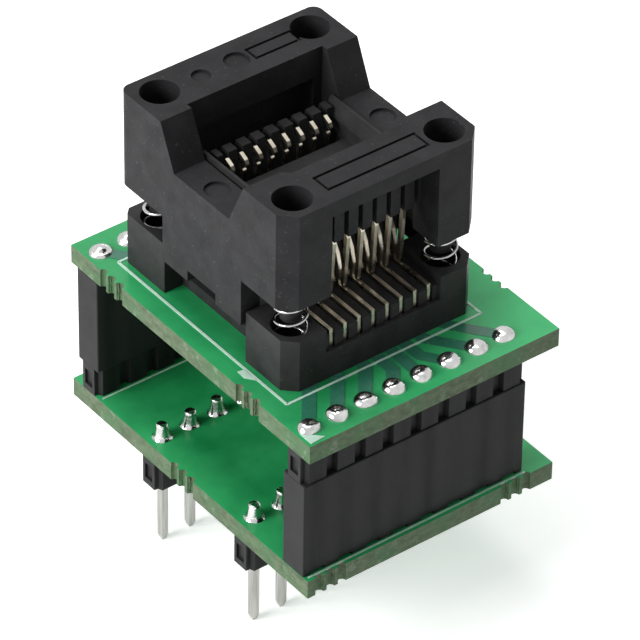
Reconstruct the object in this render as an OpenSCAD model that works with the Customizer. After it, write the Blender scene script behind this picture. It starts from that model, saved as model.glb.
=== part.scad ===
// Plug-in adapter for small-outline chips: a spring-loaded open-top test socket
// on an upper board, joined to a lower plug board by two keyed header pairs.
// Millimetres. X runs along the pin rows, Y goes to the back, Z is up.
// The origin is under the middle of the boards, at the tips of the plug pins.

/* [Boards] */
// Thickness of both boards
board_t = 1.6; // [0.8:0.1:2.4]
// From the left edge of a board to its first header pin
edge_to_pin_x = 1.27; // [1.27:0.01:1.6]
// From the last header pin to the right edge of a board
right_edge = 3.75; // [2:0.05:5]
// From the front edge of a board to its front header row
edge_to_pin_y = 1.8; // [1.6:0.05:2.2]
// From the back header row to the back edge of a board
back_edge = 2; // [1.6:0.05:2.6]
// From the front header row to the front of the chip socket
front_room = 3.6; // [3.2:0.05:5]
// From the back of the chip socket to the back header row
back_room = 1.7; // [1.6:0.05:3]
// From the first header pin to the left side of the chip socket
left_room = 0.88; // [0.5:0.01:2]
// Radius of the half-round break-off notches in the board edges
bite_r = 0.36; // [0.3:0.02:0.46]
// Spacing of the notches in a group of three
bite_pitch = 1.02; // [1:0.02:1.3]
// From the front edge to the front group in the upper board's sides
upper_bite_front = 7.4; // [6:0.1:8]
// From the back edge to the back group in the upper board's sides
upper_bite_back = 5.1; // [4:0.1:7]
// Group in the lower board's sides, from the middle
lower_bite_side = 0.75; // [0:0.05:2]
// From the left edge to the left group in the lower board's front
lower_bite_left = 2.1; // [1.8:0.1:4]
// From the right edge to the right group in the lower board's front
lower_bite_right = 3.5; // [1.8:0.1:5]
// Gap round a pin or a tail in its plated hole
hole_gap = 0.06; // [0.04:0.01:0.12]

/* [Headers] */
// Contacts in each header row
positions = 8; // [6:1:8]
// Spacing of the header pins
pitch = 2.54; // [2.5:0.01:2.6]
// Side of a square header pin or plug pin
pin_side = 0.6; // [0.5:0.02:0.7]
// Height of the pin headers' insulators
male_h = 2.54; // [2:0.02:3]
// Depth of the pin headers' insulators
male_d = 2.3; // [2:0.05:2.5]
// Height of the socket headers
female_h = 8.5; // [8:0.1:9]
// Depth of the socket headers
female_d = 2.5; // [2.3:0.05:2.54]
// How far a header pin reaches into its socket header
pin_reach = 6; // [4:0.1:6.5]
// How far a soldered tail stands out of its board
stub = 0.45; // [0.4:0.05:1.4]
// Width of the notches between two positions of an insulator
notch_w = 1; // [0.6:0.05:1.2]
// Depth of those notches
notch_t = 0.42; // [0.2:0.02:0.5]
// Width of the shallow recess in the end of an insulator
end_mark_w = 0.9; // [0.6:0.05:1.1]
// Height of that recess
end_mark_h = 1.4; // [1:0.05:1.6]
// Depth of that recess
end_mark_t = 0.2; // [0.1:0.02:0.3]
// Side of the small notches along the mouth side of a socket header
foot_cut = 0.3; // [0.2:0.02:0.4]
// Width of those notches
foot_cut_w = 1.27; // [1:0.01:1.4]

/* [Socket clips] */
// Outside width of a folded socket clip
clip_w = 1.36; // [1.2:0.02:1.5]
// Sheet thickness of a clip
clip_t = 0.18; // [0.12:0.01:0.22]
// Length of a clip's box
clip_h = 5.2; // [4:0.1:6]
// Gap between a clip and its cavity
clip_gap = 0.06; // [0.02:0.01:0.1]
// Gap between a clip's box and the board
clip_seat = 0.4; // [0.2:0.05:0.8]
// Width of the slit in the front of a clip
clip_slit = 0.5; // [0.3:0.05:0.7]
// Depth of the narrow mouth above a cavity
mouth_h = 1.2; // [0.6:0.1:2]
// Width of the narrow mouth above a cavity
mouth_w = 1; // [0.8:0.05:1.2]

/* [Plug pins] */
// Distance between the two rows of plug pins
plug_gap = 11.43; // [10:0.01:12]
// From the front header row to the front row of plug pins
plug_inset = 6.35; // [6:0.05:7]
// Height of the plug pins' insulators
plug_ins_h = 2.5; // [2:0.1:3]
// How far the plug pins reach below their insulators
plug_reach = 5.8; // [4:0.1:7]
// How far a plug pin stands out of the lower board's top
plug_stub = 1.2; // [1.1:0.05:1.5]
// Length of the tapered end of a plug pin
taper_h = 0.45; // [0.3:0.05:1]
// Side of the flat tip of a plug pin
tip_side = 0.34; // [0.2:0.02:0.4]

/* [Solder] */
// Foot radius of the round joints on the upper board
dome_r = 0.88; // [0.8:0.02:1.1]
// Height of the round joints on the upper board
dome_h = 0.45; // [0.3:0.05:0.8]
// Foot radius of the tall joints round the plug pins
cone_r = 0.74; // [0.7:0.02:1]
// Height of the tall joints round the plug pins
cone_h = 1.05; // [0.8:0.05:1.3]
// Foot radius of the joints round the chip contacts' tails
tail_joint_r = 0.56; // [0.45:0.01:0.6]
// Height of the joints round the chip contacts' tails
tail_joint_h = 0.4; // [0.3:0.02:0.85]

/* [Chip socket base] */
// Length of the base
base_w = 17.2; // [17:0.1:18]
// Depth of the base
base_d = 20.1; // [19.8:0.1:20.6]
// Height of the four spring columns
column_h = 4.5; // [4:0.1:4.6]
// Length of a column along the rows
column_w = 3.4; // [3.3:0.05:3.5]
// Depth of the front and the back rail
rail_d = 5.1; // [5:0.05:5.2]
// How far the rails lie below the columns' tops
rail_step = 0.8; // [0.6:0.1:1]
// How far the low outer wall lies below the rails
lip_step = 1.25; // [1:0.05:1.6]
// Thickness of the low outer wall
lip_t = 0.3; // [0.2:0.02:0.4]
// Thickness of the base's floor under pockets and slots
floor_t = 1; // [0.8:0.1:1.4]
// Gap between the middle block and the cover's side panels
panel_gap = 0.3; // [0.2:0.05:0.5]
// Chamfer of the base's front corners
base_chamfer = 1; // [0.6:0.1:1.2]
// Chamfer of the base's back corners
base_back_chamfer = 0.5; // [0.3:0.1:1]

/* [Chip nest] */
// Number of contacts in each row of the chip
chip_positions = 8; // [6:1:8]
// Room along the rows beyond the outer contacts' pitch
nest_gap = 0.24; // [0.2:0.02:0.3]
// Spacing of the chip's leads
chip_pitch = 1.27; // [1.2:0.01:1.27]
// Height of the seat that carries the chip
seat_h = 10; // [9.8:0.1:10.2]
// Depth of the seat across the rows
seat_d = 3.3; // [3:0.1:3.4]
// Height of the comb teeth above the seat
tooth_rise = 2.05; // [1.8:0.05:2.2]
// Gap between the chip contacts' tips and the comb teeth
tooth_gap = 0.75; // [0.7:0.01:0.8]
// Thickness of the comb teeth at the top
tooth_t = 0.9; // [0.7:0.05:1]
// How far the ribs under the teeth swell out
rib_bulge = 0.35; // [0.2:0.05:0.4]
// Height of the slopes at the top of the ribs
rib_slope = 1.1; // [0.9:0.05:1.3]
// Height of the slopes at the foot of the ribs
rib_foot = 3; // [1:0.1:3.5]
// How far the ribs run into the rails
rib_lap = 0.25; // [0.1:0.05:0.3]
// Thickness of the nest's end walls
end_wall = 0.7; // [0.6:0.02:0.75]
// Height of the end walls above the comb teeth
end_rise = 0.3; // [0.1:0.05:0.5]
// Depth of the end walls
end_wall_d = 7.9; // [7:0.1:8]
// Thickness of the end walls at the top of their lead-in slope
end_wall_top = 0.25; // [0.15:0.01:0.4]
// Length of the end walls' lead-in slope
lead_in = 1.2; // [0.6:0.1:1.5]
// Width of a contact's slot in the combs
slot_w = 0.5; // [0.46:0.01:0.56]
// Length of the pocket in the seat
seat_slot_l = 7.6; // [6:0.1:8]
// Depth of the pocket in the seat, across the rows
seat_slot_d = 0.8; // [0.4:0.1:1.2]
// Depth of that pocket
seat_slot_h = 1.5; // [0.5:0.1:3]

/* [Contacts] */
// Thickness of the contact sheet
contact_t = 0.3; // [0.2:0.01:0.32]
// Width of the stamped strips in their own plane
strip = 0.36; // [0.3:0.01:0.4]
// From the base's outer face to the middle of the soldered tails
tail_inset = 0.65; // [0.6:0.05:0.9]
// From the arms' bending point out to the cover's comb wall
arm_room = 1; // [0.95:0.05:1.2]
// Height of the arms' bending point above the rails
bend_rise = 0.5; // [0.4:0.05:0.8]
// From the seat's side to the contact tips
tip_gap = 0.65; // [0.6:0.01:0.8]
// Height of the contact tips above the seat
tip_rise = 1.5; // [1.3:0.05:1.6]
// How far the hooked tips reach down
tip_drop = 0.5; // [0.4:0.05:0.6]
// How far the arms lean out below the shoulder
arm_lean = 0.3; // [0.2:0.02:0.34]
// From the shoulder to the arms' inner bend, across the rows
arm_knee = 1.2; // [1:0.05:1.3]
// From the lower jaws to the tips, across the rows
jaw_back = 0.3; // [0.25:0.05:0.4]
// How far the lower jaws reach above the seat
jaw_rise = 0.25; // [0.1:0.05:0.4]
// How far the arms' shoulders lie below the seat
shoulder_drop = 0.7; // [0.5:0.05:0.9]
// From the top of the curved hook up to the arm's shoulder
hook_gap = 0.9; // [0.7:0.05:2]
// Sway of that hook
hook_sway = 0.3; // [0.1:0.05:0.32]
// Gap between an arm and the foot it bends on
bend_gap = 0.1; // [0.08:0.01:0.15]

/* [Chip socket cover] */
// How far the cover overhangs the base at each side
cover_lap = 0.3; // [0.2:0.05:0.5]
// How far the cover stands back from the base's front and back
cover_step = 0.05; // [0:0.05:0.2]
// Thickness of the cover over the front and back recesses
roof_t = 1.3; // [1:0.1:2]
// Travel of the cover when it is pressed
travel = 2.5; // [2:0.1:2.6]
// Gap left over the spring columns when the cover is pressed
stop_gap = 0.35; // [0.2:0.05:0.5]
// Gap between the opening for the chip and the nest's end walls
window_gap = 0.2; // [0.15:0.01:0.3]
// Depth of the opening for the chip
window_d = 11; // [10.8:0.1:11.2]
// Thickness of the side panels
panel_t = 1.7; // [1.5:0.05:1.75]
// Depth of the side panels
panel_d = 9.5; // [9.3:0.1:9.6]
// How far the panels hang below the cover's corners
panel_drop = 4.05; // [3.6:0.05:4.3]
// Depth of the shallow cut in the panels' lower edge
panel_cut_h = 0.95; // [0.6:0.05:1.2]
// Width of the shallow cut in the panels' lower edge
panel_cut_d = 3.4; // [3:0.1:4]
// Depth of the side notches
notch_h = 3.7; // [3:0.1:4]
// Width of a side notch at its floor
notch_floor_d = 6.6; // [6:0.1:7]
// Width of a side notch at the top
notch_top_d = 9.9; // [9:0.1:10]
// From the arms' shoulders up to the front and back bars
bar_gap = 3.8; // [3.6:0.05:4.2]
// Depth of the recess in the front and back faces
recess_d = 2.1; // [1.9:0.05:2.2]
// How far that recess reaches above the bars' undersides
recess_rise = 1.3; // [0.8:0.05:1.6]
// How far the nest is wider than that recess at each end
recess_step = 0.4; // [0.2:0.05:0.5]
// Thickness of the comb wall behind that recess
comb_t = 0.8; // [0.6:0.05:0.85]
// Height of the slots in that comb wall
comb_h = 3.1; // [2.6:0.1:3.4]
// Width of those slots
comb_slot_w = 0.4; // [0.34:0.02:0.5]
// Room beside the outer arms inside the front and back bars
slot_gap = 0.15; // [0.1:0.01:0.2]
// Chamfer of the cover's front corners
front_chamfer = 1.2; // [0.8:0.1:1.3]
// Radius of the cover's back corners
back_round = 0.8; // [0.4:0.1:1]
// Chamfer of the opening's corners
window_chamfer = 1.1; // [0.6:0.1:1.2]

/* [Springs] */
// From the base's side to the middle of a spring
spring_inset_x = 1.8; // [1.7:0.05:1.9]
// From the base's front or back to the middle of a spring
spring_inset_y = 2.15; // [2:0.05:2.3]
// Radius of the spring pockets and of the cover's corner bores
pocket_r = 1.5; // [1.45:0.01:1.52]
// Radius of a spring to the middle of its wire
coil_r = 1.2; // [1.15:0.01:1.25]
// Radius of the spring wire
wire_r = 0.13; // [0.1:0.01:0.15]
// Turns of a spring
turns = 5; // [4:0.5:6]
// Radius of the guide posts inside the springs
post_r = 0.8; // [0.6:0.05:0.85]
// Length of the guide posts
post_h = 2.2; // [1.5:0.1:2.6]
// Thickness left under the corner bores in the cover's top
bore_floor = 1.95; // [1.5:0.05:3]

/* [Cover marks] */
// Depth of the round and the framed recesses
mark_h = 0.22; // [0.1:0.02:0.4]
// Line width of the framed recesses
frame_line = 0.24; // [0.15:0.01:0.3]
// Length of the front framed recess
front_frame_w = 9.2; // [7:0.1:9.6]
// Depth of the front framed recess, across the rows
front_frame_d = 1.9; // [1.2:0.1:2.2]
// Middle of the front framed recess, along the rows
front_frame_x = 0.35; // [0:0.05:0.5]
// Length of the back framed recess
back_frame_w = 4.2; // [3:0.1:5]
// Depth of the back framed recess, across the rows
back_frame_d = 1.5; // [1:0.1:2.2]
// Middle of the back framed recess, along the rows
back_frame_x = 3.3; // [3:0.1:3.4]
// Middle of the small round recess, to the left
small_disc_x = 3.2; // [2.8:0.1:4]
// Radius of the large round recesses
disc_r = 1; // [0.7:0.05:1.1]
// Radius of the small round recess
small_disc_r = 0.76; // [0.5:0.02:0.9]

/* [Hidden] */
$fn = 32;
eps = 0.01;
lower_z = plug_reach + plug_ins_h;
lower_top = lower_z + board_t;
upper_z = lower_top + male_h + female_h;
upper_top = upper_z + board_t;
board_w = edge_to_pin_x + (positions - 1) * pitch + right_edge;
board_d = edge_to_pin_y + front_room + base_d + back_room + back_edge;
first_pin_x = -board_w / 2 + edge_to_pin_x;
front_row_y = -board_d / 2 + edge_to_pin_y;
back_row_y = board_d / 2 - back_edge;
socket_x = first_pin_x + left_room + base_w / 2;
socket_y = front_row_y + front_room + base_d / 2;
front_plug_y = front_row_y + plug_inset;
back_plug_y = front_plug_y + plug_gap;
pin_hole_r = pin_side * sqrt(2) / 2 + hole_gap;
tail_hole_r = sqrt(strip * strip + contact_t * contact_t) / 2 + hole_gap;
tail_hole_x = [for (i = [0:chip_positions - 1]) (i - (chip_positions - 1) / 2) * chip_pitch];
nest_w = chip_positions * chip_pitch + nest_gap;
tower_w = nest_w + 2 * end_wall;
rail_in = base_d / 2 - rail_d;
rail_h = column_h - rail_step;
lip_h = rail_h - lip_step;
tooth_h = seat_h + tooth_rise;
end_wall_h = tooth_h + end_rise;
cover_w = base_w + 2 * cover_lap;
cover_d = base_d - 2 * cover_step;
block_w = cover_w - 2 * panel_t - 2 * panel_gap;
window_w = tower_w + 2 * window_gap;
recess_w = nest_w - 2 * recess_step;
comb_y = cover_d / 2 - recess_d - comb_t;
bar_y = (cover_d + window_d) / 4;
tail_y = base_d / 2 - tail_inset;
bend_y = comb_y - arm_room;
bend_z = rail_h + bend_rise;
tip_y = seat_d / 2 + tip_gap;
tip_z = seat_h + tip_rise;
shoulder_z = seat_h - shoulder_drop;
hook_h = shoulder_z - bend_z - hook_gap;
bar_under = shoulder_z + bar_gap;
comb_under = bar_under - comb_h;
recess_top = bar_under + recess_rise;
cover_top = recess_top + roof_t;
cover_under = column_h + travel + stop_gap;
panel_under = cover_under - panel_drop;
notch_z = cover_top - notch_h;
spring_gap_x = base_w - 2 * spring_inset_x;
spring_gap_y = base_d - 2 * spring_inset_y;

// Placing

module at_pins(row_y, z) {
    for (i = [0:positions - 1]) translate([first_pin_x + i * pitch, row_y, z]) children();
}

module at_tails(side, z) {
    for (x = tail_hole_x) translate([socket_x + x, socket_y + side * tail_y, z]) children();
}

module in_socket() {
    translate([socket_x, socket_y, upper_top]) children();
}

module box(size, z0, z1) {
    translate([-size[0] / 2, -size[1] / 2, z0]) cube([size[0], size[1], z1 - z0]);
}

// Boards

module bites(x, y, along_x) {
    for (i = [-1:1])
        translate([x + (along_x ? i * bite_pitch : 0), y + (along_x ? 0 : i * bite_pitch), -eps])
            cylinder(r = bite_r, h = board_t + 2 * eps, $fn = 24);
}

module board_blank() {
    box([board_w, board_d], 0, board_t);
}

module pin_holes(row_y) {
    at_pins(row_y, -eps) cylinder(r = pin_hole_r, h = board_t + 2 * eps, $fn = 20);
}

module upper_board() {
    color("seagreen") translate([0, 0, upper_z]) difference() {
        board_blank();
        for (row_y = [front_row_y, back_row_y]) pin_holes(row_y);
        for (side = [-1, 1])
            at_tails(side, -eps) cylinder(r = tail_hole_r, h = board_t + 2 * eps, $fn = 16);
        for (x = [-board_w / 2, board_w / 2])
            for (y = [upper_bite_front - board_d / 2, board_d / 2 - upper_bite_back])
                bites(x, y, false);
    }
}

module lower_board() {
    color("seagreen") translate([0, 0, lower_z]) difference() {
        board_blank();
        for (row_y = [front_row_y, back_row_y, front_plug_y, back_plug_y]) pin_holes(row_y);
        for (x = [-board_w / 2, board_w / 2]) bites(x, lower_bite_side, false);
        for (x = [lower_bite_left - board_w / 2, board_w / 2 - lower_bite_right])
            bites(x, -board_d / 2, true);
    }
}

// Headers between the boards

module insulator(height, depth) {
    row_w = positions * pitch;
    difference() {
        translate([-pitch / 2, -depth / 2, 0]) cube([row_w, depth, height]);
        for (i = [0:positions]) for (side = [-1, 1])
            translate([(i - 0.5) * pitch, side * depth / 2, -eps]) scale([1, -side, 1])
                linear_extrude(height + 2 * eps) polygon([[-notch_w / 2, -eps], [notch_w / 2, -eps],
                    [notch_w / 3, notch_t], [-notch_w / 3, notch_t]]);
        for (i = [0:positions - 1])
            translate([i * pitch - pin_side / 2, -pin_side / 2, -eps])
                cube([pin_side, pin_side, height + 2 * eps]);
        for (end = [-pitch / 2, row_w - pitch / 2])
            translate([end, 0, height / 2])
                cube([2 * end_mark_t, end_mark_w, end_mark_h], center = true);
    }
}

module square_pin(z0, z1) {
    profile = [[-tip_side / 2, 0], [tip_side / 2, 0], [pin_side / 2, taper_h],
        [pin_side / 2, z1 - z0], [-pin_side / 2, z1 - z0], [-pin_side / 2, taper_h]];
    translate([0, 0, z0]) intersection() {
        rotate([90, 0, 0]) linear_extrude(pin_side, center = true) polygon(profile);
        rotate([90, 0, 90]) linear_extrude(pin_side, center = true) polygon(profile);
    }
}

module socket_header_body() {
    row_w = positions * pitch;
    cavity = clip_w + 2 * clip_gap;
    difference() {
        translate([-pitch / 2, -female_d / 2, 0]) cube([row_w, female_d, female_h]);
        for (i = [0:positions - 1]) translate([i * pitch, 0, 0]) {
            box([cavity, cavity], -eps, female_h - mouth_h);
            box([mouth_w, mouth_w], -eps, female_h + eps);
        }
        for (side = [-1, 1]) for (i = [0:positions - 1])
            translate([i * pitch, side * female_d / 2, 0])
                box([foot_cut_w, 2 * foot_cut], -eps, foot_cut);
    }
}

module clip() {
    inner = clip_w - 2 * clip_t;
    difference() {
        box([clip_w, clip_w], clip_seat, clip_seat + clip_h);
        box([inner, inner], clip_seat + clip_t, clip_seat + clip_h + eps);
        translate([0, -clip_w / 2, 0])
            box([clip_slit, 3 * clip_t], clip_h / 2, clip_seat + clip_h + eps);
    }
    box([pin_side, clip_t], -board_t - stub, clip_seat + eps);
}

module front_pin_insulator() {
    color("dimgray") translate([first_pin_x, front_row_y, upper_z - male_h]) insulator(male_h, male_d);
}

module front_header_pins() {
    color("silver") at_pins(front_row_y, 0)
        square_pin(upper_z - male_h - pin_reach, upper_top + stub);
}

module front_socket_header() {
    color("dimgray") translate([first_pin_x, front_row_y, lower_top]) socket_header_body();
}

module front_header_clips() {
    color("gold") at_pins(front_row_y, lower_top) clip();
}

module back_pin_insulator() {
    color("dimgray") translate([first_pin_x, back_row_y, lower_top]) insulator(male_h, male_d);
}

module back_header_pins() {
    color("silver") at_pins(back_row_y, 0) mirror([0, 0, 1])
        square_pin(-lower_top - male_h - pin_reach, -lower_z + stub);
}

module back_socket_header() {
    color("dimgray") translate([first_pin_x, back_row_y, upper_z])
        mirror([0, 0, 1]) socket_header_body();
}

module back_header_clips() {
    color("gold") at_pins(back_row_y, upper_z) mirror([0, 0, 1]) clip();
}

// Plug pins under the lower board

module plug_insulator(row_y) {
    color("dimgray") translate([first_pin_x, row_y, lower_z - plug_ins_h])
        insulator(plug_ins_h, male_d);
}

module front_plug_insulator() {
    plug_insulator(front_plug_y);
}

module back_plug_insulator() {
    plug_insulator(back_plug_y);
}

// Pins 1 to 8 run left to right in front, 9 to 16 right to left behind.
module plug_pin(number) {
    in_front = number <= positions;
    place = in_front ? number - 1 : 2 * positions - number;
    color("silver")
        translate([first_pin_x + place * pitch, in_front ? front_plug_y : back_plug_y, 0])
            square_pin(0, lower_top + plug_stub);
}

// Solder joints, each a turned fillet round its own pin or tail

module joint(foot_r, height, hole) {
    difference() {
        rotate_extrude($fn = 24) polygon([[0, 0], [foot_r, 0], [foot_r * 0.9, height * 0.35],
            [foot_r * 0.68, height * 0.72], [foot_r * 0.5, height], [0, height]]);
        box(hole, -eps, height + eps);
    }
}

module pin_joints(row_y, z, foot_r, height, hole) {
    color("lightgray") at_pins(row_y, z) joint(foot_r, height, hole);
}

module front_upper_joints() {
    pin_joints(front_row_y, upper_top, dome_r, dome_h, [pin_side, pin_side]);
}

module back_upper_joints() {
    pin_joints(back_row_y, upper_top, dome_r, dome_h, [pin_side, clip_t]);
}

module front_lower_joints() {
    color("lightgray") at_pins(front_row_y, lower_z) mirror([0, 0, 1])
        joint(dome_r, dome_h, [pin_side, clip_t]);
}

module back_lower_joints() {
    color("lightgray") at_pins(back_row_y, lower_z) mirror([0, 0, 1])
        joint(dome_r, dome_h, [pin_side, pin_side]);
}

module front_plug_joints() {
    pin_joints(front_plug_y, lower_top, cone_r, cone_h, [pin_side, pin_side]);
}

module back_plug_joints() {
    pin_joints(back_plug_y, lower_top, cone_r, cone_h, [pin_side, pin_side]);
}

module tail_joints(side) {
    color("lightgray") at_tails(side, upper_z) mirror([0, 0, 1])
        joint(tail_joint_r, tail_joint_h, [contact_t, strip]);
}

module front_tail_joints() {
    tail_joints(-1);
}

module back_tail_joints() {
    tail_joints(1);
}

// Chip socket base: rails with spring columns, combs and the chip's seat

module base_plan() {
    c = base_chamfer;
    b = base_back_chamfer;
    x = base_w / 2;
    y = base_d / 2;
    polygon([[-x + c, -y], [x - c, -y], [x, -y + c], [x, y - b], [x - b, y],
        [-x + b, y], [-x, y - b], [-x, -y + c]]);
}

// One comb rib, seen along the rows, for the row at the back
module rib_outline() {
    in_y = tip_y + tooth_gap;
    out_y = rail_in + rib_lap;
    polygon([[in_y, floor_t], [in_y - rib_bulge, seat_h - rib_slope], [in_y, tooth_h],
        [in_y + tooth_t, tooth_h], [in_y + tooth_t + rib_bulge, tooth_h - rib_slope],
        [in_y + tooth_t + rib_bulge, rail_h + rib_foot], [out_y, rail_h], [out_y, floor_t]]);
}

module comb_cuts(w, y0, y1, z0, z1) {
    for (x = tail_hole_x) translate([x - w / 2, y0, z0]) cube([w, y1 - y0, z1 - z0]);
}

module column_pockets() {
    for (sx = [-1, 1]) for (sy = [-1, 1])
        translate([sx * spring_gap_x / 2, sy * spring_gap_y / 2, floor_t])
            cylinder(r = pocket_r, h = column_h);
}

module rails() {
    difference() {
        linear_extrude(column_h) base_plan();
        box([base_w + 1, 2 * rail_in], -eps, column_h + 1);
        box([base_w - 2 * column_w, base_d + 1], rail_h, column_h + 1);
        for (side = [-1, 1]) translate([0, side * base_d / 2, 0])
            box([nest_w, 2 * lip_t], lip_h, column_h + 1);
        column_pockets();
    }
}

module seat_block() {
    difference() {
        box([tower_w, seat_d], 0, seat_h);
        box([seat_slot_l, seat_slot_d], seat_h - seat_slot_h, seat_h + 1);
    }
}

module end_walls() {
    guide = end_wall - end_wall_top;
    for (side = [-1, 1]) scale([side, 1, 1]) translate([nest_w / 2, 0, 0])
        rotate([90, 0, 0]) linear_extrude(end_wall_d, center = true)
            polygon([[0, 0], [end_wall, 0], [end_wall, end_wall_h], [guide, end_wall_h],
                [0, end_wall_h - lead_in]]);
}

module socket_base() {
    color([0.16, 0.16, 0.17]) in_socket() difference() {
        union() {
            rails();
            box([block_w, 2 * rail_in + eps], 0, floor_t);
            box([tower_w, 2 * rail_in + eps], 0, rail_h);
            seat_block();
            end_walls();
            for (side = [-1, 1]) scale([1, side, 1]) rotate([90, 0, 90])
                linear_extrude(nest_w, center = true) rib_outline();
        }
        for (side = [-1, 1]) scale([1, side, 1]) {
            comb_cuts(slot_w, seat_d / 2, base_d / 2 - lip_t, floor_t, cover_top);
            for (x = tail_hole_x) translate([x - slot_w / 2, tail_y - strip, -eps])
                cube([slot_w, 2 * strip, floor_t + 1]);
        }
    }
}

// Contacts: the stem is soldered, holds the fixed lower jaw and carries the arm

// A strip of even width along a line of points, with round bends and ends
module strip_outline(points, width) {
    for (p = points) translate(p) circle(d = width, $fn = 20);
    for (i = [0:len(points) - 2]) {
        step = points[i + 1] - points[i];
        translate(points[i]) rotate(atan2(step[1], step[0]))
            translate([0, -width / 2]) square([norm(step), width]);
    }
}

// An upright strip of even width across, along a line of points
module hook_outline(points, width) {
    half = [width / 2, 0];
    polygon(concat([for (p = points) p + half],
        [for (i = [len(points) - 1:-1:0]) points[i] - half]));
}

module stem_outline() {
    z = bend_z - strip / 2 - bend_gap;
    jaw_y = tip_y + jaw_back;
    foot_y = bend_y - 2.5 * strip;
    translate([tail_y - strip / 2, -board_t - stub]) square([strip, z + board_t + stub]);
    translate([foot_y, z - strip]) square([tail_y - foot_y + strip / 2, strip]);
    strip_outline([[foot_y, z - strip / 2], [foot_y - arm_knee, z + strip],
        [jaw_y + jaw_back, seat_h - 2 * rib_slope], [jaw_y, seat_h + jaw_rise]], strip);
    hook_outline([[foot_y + hook_sway, z - strip / 2], [foot_y + hook_sway, z + 0.3 * hook_h],
        [foot_y, z + 0.6 * hook_h], [foot_y - 2 * hook_sway, z + 0.85 * hook_h],
        [foot_y - 2 * hook_sway, z + hook_h]], strip);
}

module arm_outline() {
    strip_outline([[bend_y, bend_z], [bend_y + arm_lean, shoulder_z - 2 * strip],
        [bend_y, shoulder_z], [bend_y - arm_knee, shoulder_z + arm_lean],
        [tip_y + arm_knee, tip_z - tip_drop - arm_lean / 3], [tip_y + 1.8 * strip, tip_z],
        [tip_y + 0.4 * strip, tip_z - 0.5 * tip_drop], [tip_y, tip_z - tip_drop]], strip);
}

module as_contact(side) {
    scale([1, side, 1]) rotate([90, 0, 90]) linear_extrude(contact_t, center = true) children();
}

module contact_stems(side) {
    color("gold") in_socket() for (x = tail_hole_x)
        translate([x, 0, 0]) as_contact(side) stem_outline();
}

module front_contact_stems() {
    contact_stems(-1);
}

module back_contact_stems() {
    contact_stems(1);
}

// Arms 1 to 8 run left to right in front, 9 to 16 right to left behind.
module contact_arm(number) {
    in_front = number <= chip_positions;
    place = in_front ? number - 1 : 2 * chip_positions - number;
    color("gold") in_socket() translate([tail_hole_x[place], 0, 0])
        as_contact(in_front ? -1 : 1) arm_outline();
}

// Chip socket cover: a sliding frame that presses the arms outwards

module cover_plan() {
    c = front_chamfer;
    x = cover_w / 2;
    y = cover_d / 2;
    r = back_round;
    difference() {
        polygon([[-x + c, -y], [x - c, -y], [x, -y + c], [x, y], [-x, y], [-x, -y + c]]);
        for (sx = [-1, 1]) translate([sx * (x - r), y - r]) difference() {
            translate([sx > 0 ? 0 : -2 * r, 0]) square(2 * r);
            circle(r = r);
        }
    }
}

module window_plan() {
    c = window_chamfer;
    x = window_w / 2;
    y = window_d / 2;
    polygon([[-x + c, -y], [x - c, -y], [x, -y + c], [x, y], [-x, y], [-x, -y + c]]);
}

module side_notch() {
    rotate([90, 0, 90]) linear_extrude(cover_w + 2, center = true)
        polygon([[-notch_floor_d / 2, notch_z], [notch_floor_d / 2, notch_z],
            [notch_top_d / 2, cover_top + eps], [-notch_top_d / 2, cover_top + eps]]);
}

module side_panels() {
    for (side = [-1, 1]) difference() {
        translate([side * (cover_w - panel_t) / 2, 0, 0])
            box([panel_t, panel_d], panel_under, cover_under + eps);
        box([cover_w + 1, panel_cut_d], 0, panel_under + panel_cut_h);
    }
}

module framed_recess(x, y, w, d) {
    translate([x, y, cover_top - mark_h]) difference() {
        box([w, d], 0, mark_h + eps);
        box([w - 2 * frame_line, d - 2 * frame_line], -eps, mark_h + 1);
    }
}

// The front comb wall ends under its slots, the back one reaches right down.
module bar_hollow(side) {
    hollow_w = nest_w + 2 * slot_gap;
    scale([1, side, 1]) {
        translate([-hollow_w / 2, 0, cover_under - eps])
            cube([hollow_w, comb_y, bar_under - cover_under + eps]);
        if (side < 0) translate([-recess_w / 2, comb_y - eps, cover_under - eps])
            cube([recess_w, comb_t + 2 * eps, comb_under - cover_under + eps]);
        translate([-recess_w / 2, comb_y + comb_t, cover_under - eps])
            cube([recess_w, recess_d + 1, recess_top - cover_under + eps]);
        comb_cuts(comb_slot_w, comb_y - eps, comb_y + comb_t + eps, comb_under - eps, bar_under);
    }
}

module corner_bores() {
    for (sx = [-1, 1]) for (sy = [-1, 1])
        translate([sx * spring_gap_x / 2, sy * spring_gap_y / 2, cover_under + bore_floor])
            cylinder(r = pocket_r, h = cover_top - cover_under);
}

module guide_posts() {
    for (sx = [-1, 1]) for (sy = [-1, 1])
        translate([sx * spring_gap_x / 2, sy * spring_gap_y / 2, cover_under - post_h])
            cylinder(r = post_r, h = post_h + eps);
}

module cover_marks() {
    framed_recess(front_frame_x, -bar_y, front_frame_w, front_frame_d);
    framed_recess(back_frame_x, bar_y, back_frame_w, back_frame_d);
    translate([0, bar_y, cover_top - mark_h]) cylinder(r = disc_r, h = 1);
    translate([-small_disc_x, bar_y, cover_top - mark_h]) cylinder(r = small_disc_r, h = 1);
    for (side = [-1, 1])
        translate([side * (cover_w + window_w) / 4, 0, notch_z - mark_h])
            cylinder(r = disc_r, h = 1);
}

module socket_cover() {
    color([0.2, 0.2, 0.21]) in_socket() {
        difference() {
            translate([0, 0, cover_under]) linear_extrude(cover_top - cover_under) cover_plan();
            translate([0, 0, cover_under - 1]) linear_extrude(cover_top) window_plan();
            side_notch();
            for (side = [-1, 1]) bar_hollow(side);
            corner_bores();
            cover_marks();
        }
        side_panels();
        guide_posts();
    }
}

// Springs: a round wire swept along a helix between base and cover

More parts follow.
